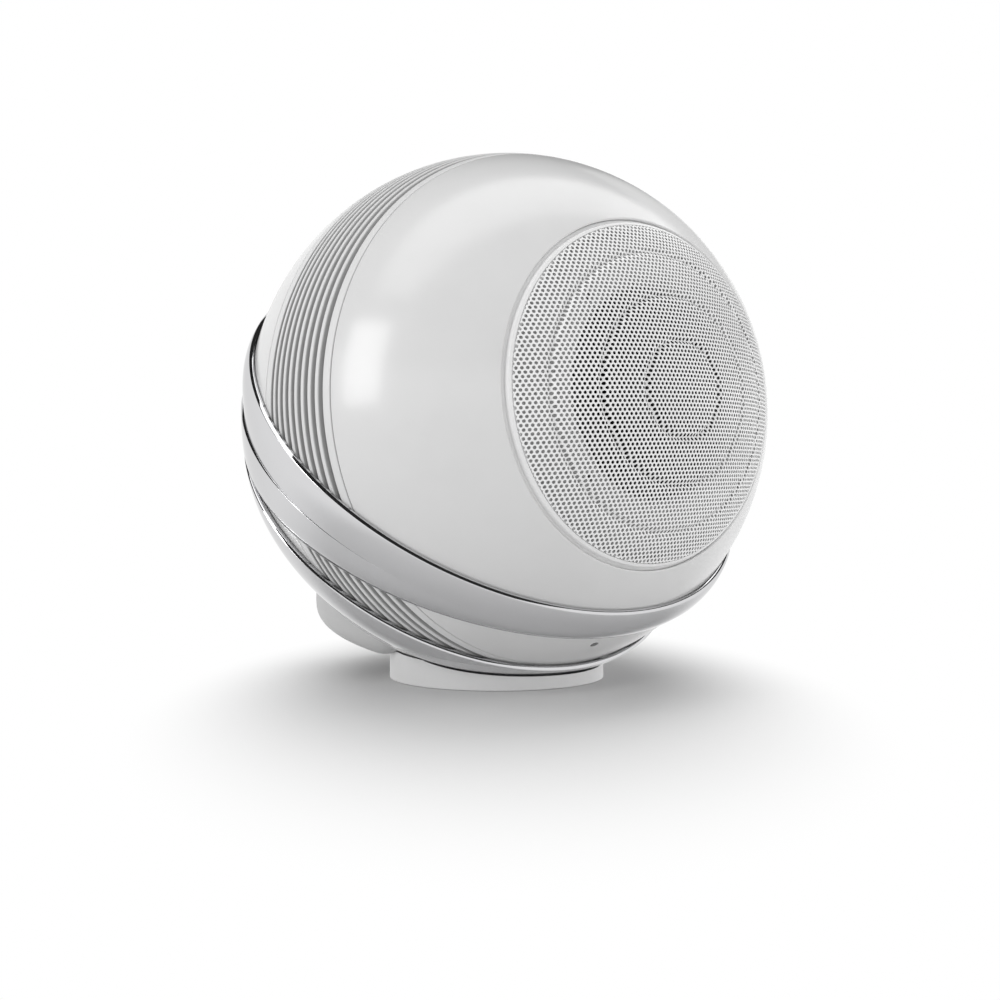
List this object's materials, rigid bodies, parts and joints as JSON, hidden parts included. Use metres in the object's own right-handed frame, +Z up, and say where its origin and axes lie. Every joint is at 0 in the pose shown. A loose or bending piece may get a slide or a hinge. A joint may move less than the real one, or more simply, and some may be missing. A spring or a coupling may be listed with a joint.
{
  "type": "smart speaker",
  "caption": "Table-top sphere speaker with a domed perforated grille, a finned ring, leaning chrome hoops, a round foot and a rear connector housing.",
  "frame": {"origin": "on the table, right below the middle of the sphere", "axes": "+Z up, -Y out of the grille, +X to the right of someone who looks at the grille"},
  "size_m": [0.2258, 0.22, 0.2221],
  "materials": {
    "gloss_white_moulding": "gloss white moulded shell",
    "satin_white_moulding": "satin white moulding",
    "white_coated_casting": "white coated cast alloy with turned grooves",
    "white_coated_sheet": "white coated perforated sheet",
    "polished_chrome": "mirror chrome",
    "smoked_lens": "smoked light pipe",
    "black_moulding": "fine matt black moulding",
    "grey_button": "satin grey key cap",
    "black_rubber": "matt black rubber",
    "paper_cone": "pressed paper",
    "silk_dome": "coated silk",
    "treated_cloth": "resin-treated cloth",
    "zinc_steel": "zinc plated steel",
    "ferrite": "sintered ferrite",
    "cast_alloy": "plain alloy",
    "green_board": "solder-masked board",
    "brass_pillar": "turned brass",
    "copper_winding": "enamelled copper wire",
    "sleeved_can": "plastic sleeve"
  },
  "bodies": {
    "cabinet": {"front_shell": "gloss_white_moulding", "rear_shell": "gloss_white_moulding", "grille_trim_ring": "gloss_white_moulding", "front_baffle": "satin_white_moulding", "foot": "satin_white_moulding", "connector_housing": "satin_white_moulding", "finned_ring": "white_coated_casting", "front_grille": "white_coated_sheet", "upper_hoop": "polished_chrome", "middle_hoop": "polished_chrome", "lower_hoop": "polished_chrome", "status_lens": "smoked_lens", "tweeter_body": "black_moulding", "connector_panel": "black_moulding", "mains_inlet": "black_moulding", "audio_socket": "black_moulding", "button_switch": "black_moulding", "driver_surround": "black_rubber", "foot_pad": "black_rubber", "front_seal": "black_rubber", "rear_seal": "black_rubber", "driver_spider": "treated_cloth", "baffle_screws": "zinc_steel", "driver_screws": "zinc_steel", "driver_top_plate": "zinc_steel", "driver_yoke": "zinc_steel", "chassis_screws": "zinc_steel", "board_screws": "zinc_steel", "foot_screws": "zinc_steel", "network_socket": "zinc_steel", "grille_magnets": "zinc_steel", "driver_ferrite": "ferrite", "transformer_core": "ferrite", "driver_basket": "cast_alloy", "chassis_plate": "cast_alloy", "heat_spreader": "cast_alloy", "amplifier_board": "green_board", "power_board": "green_board", "control_board": "green_board", "connector_board": "green_board", "board_standoffs": "brass_pillar", "control_standoffs": "brass_pillar", "output_chokes": "copper_winding", "transformer_winding": "copper_winding", "reservoir_capacitors": "sleeved_can"},
    "cone": {"driver_cone": "paper_cone"},
    "dome": {"tweeter_dome": "silk_dome"},
    "button": {"setup_button": "grey_button"}
  },
  "joints": [
    {"name": "cone_travel", "type": "slide", "parent": "cabinet", "child": "cone", "axis": [0, -1, 0], "range_m": [-0.004, 0.004], "stiffness_N_per_m": 1500, "deforming": ["driver_surround", "driver_spider"]},
    {"name": "dome_travel", "type": "slide", "parent": "cabinet", "child": "dome", "axis": [0, -1, 0], "range_m": [-0.0004, 0.0004], "stiffness_N_per_m": 2000},
    {"name": "button_press", "type": "slide", "parent": "cabinet", "child": "button", "axis": [0, -1, 0], "range_m": [0, 0.0008], "stiffness_N_per_m": 1500}
  ]
}
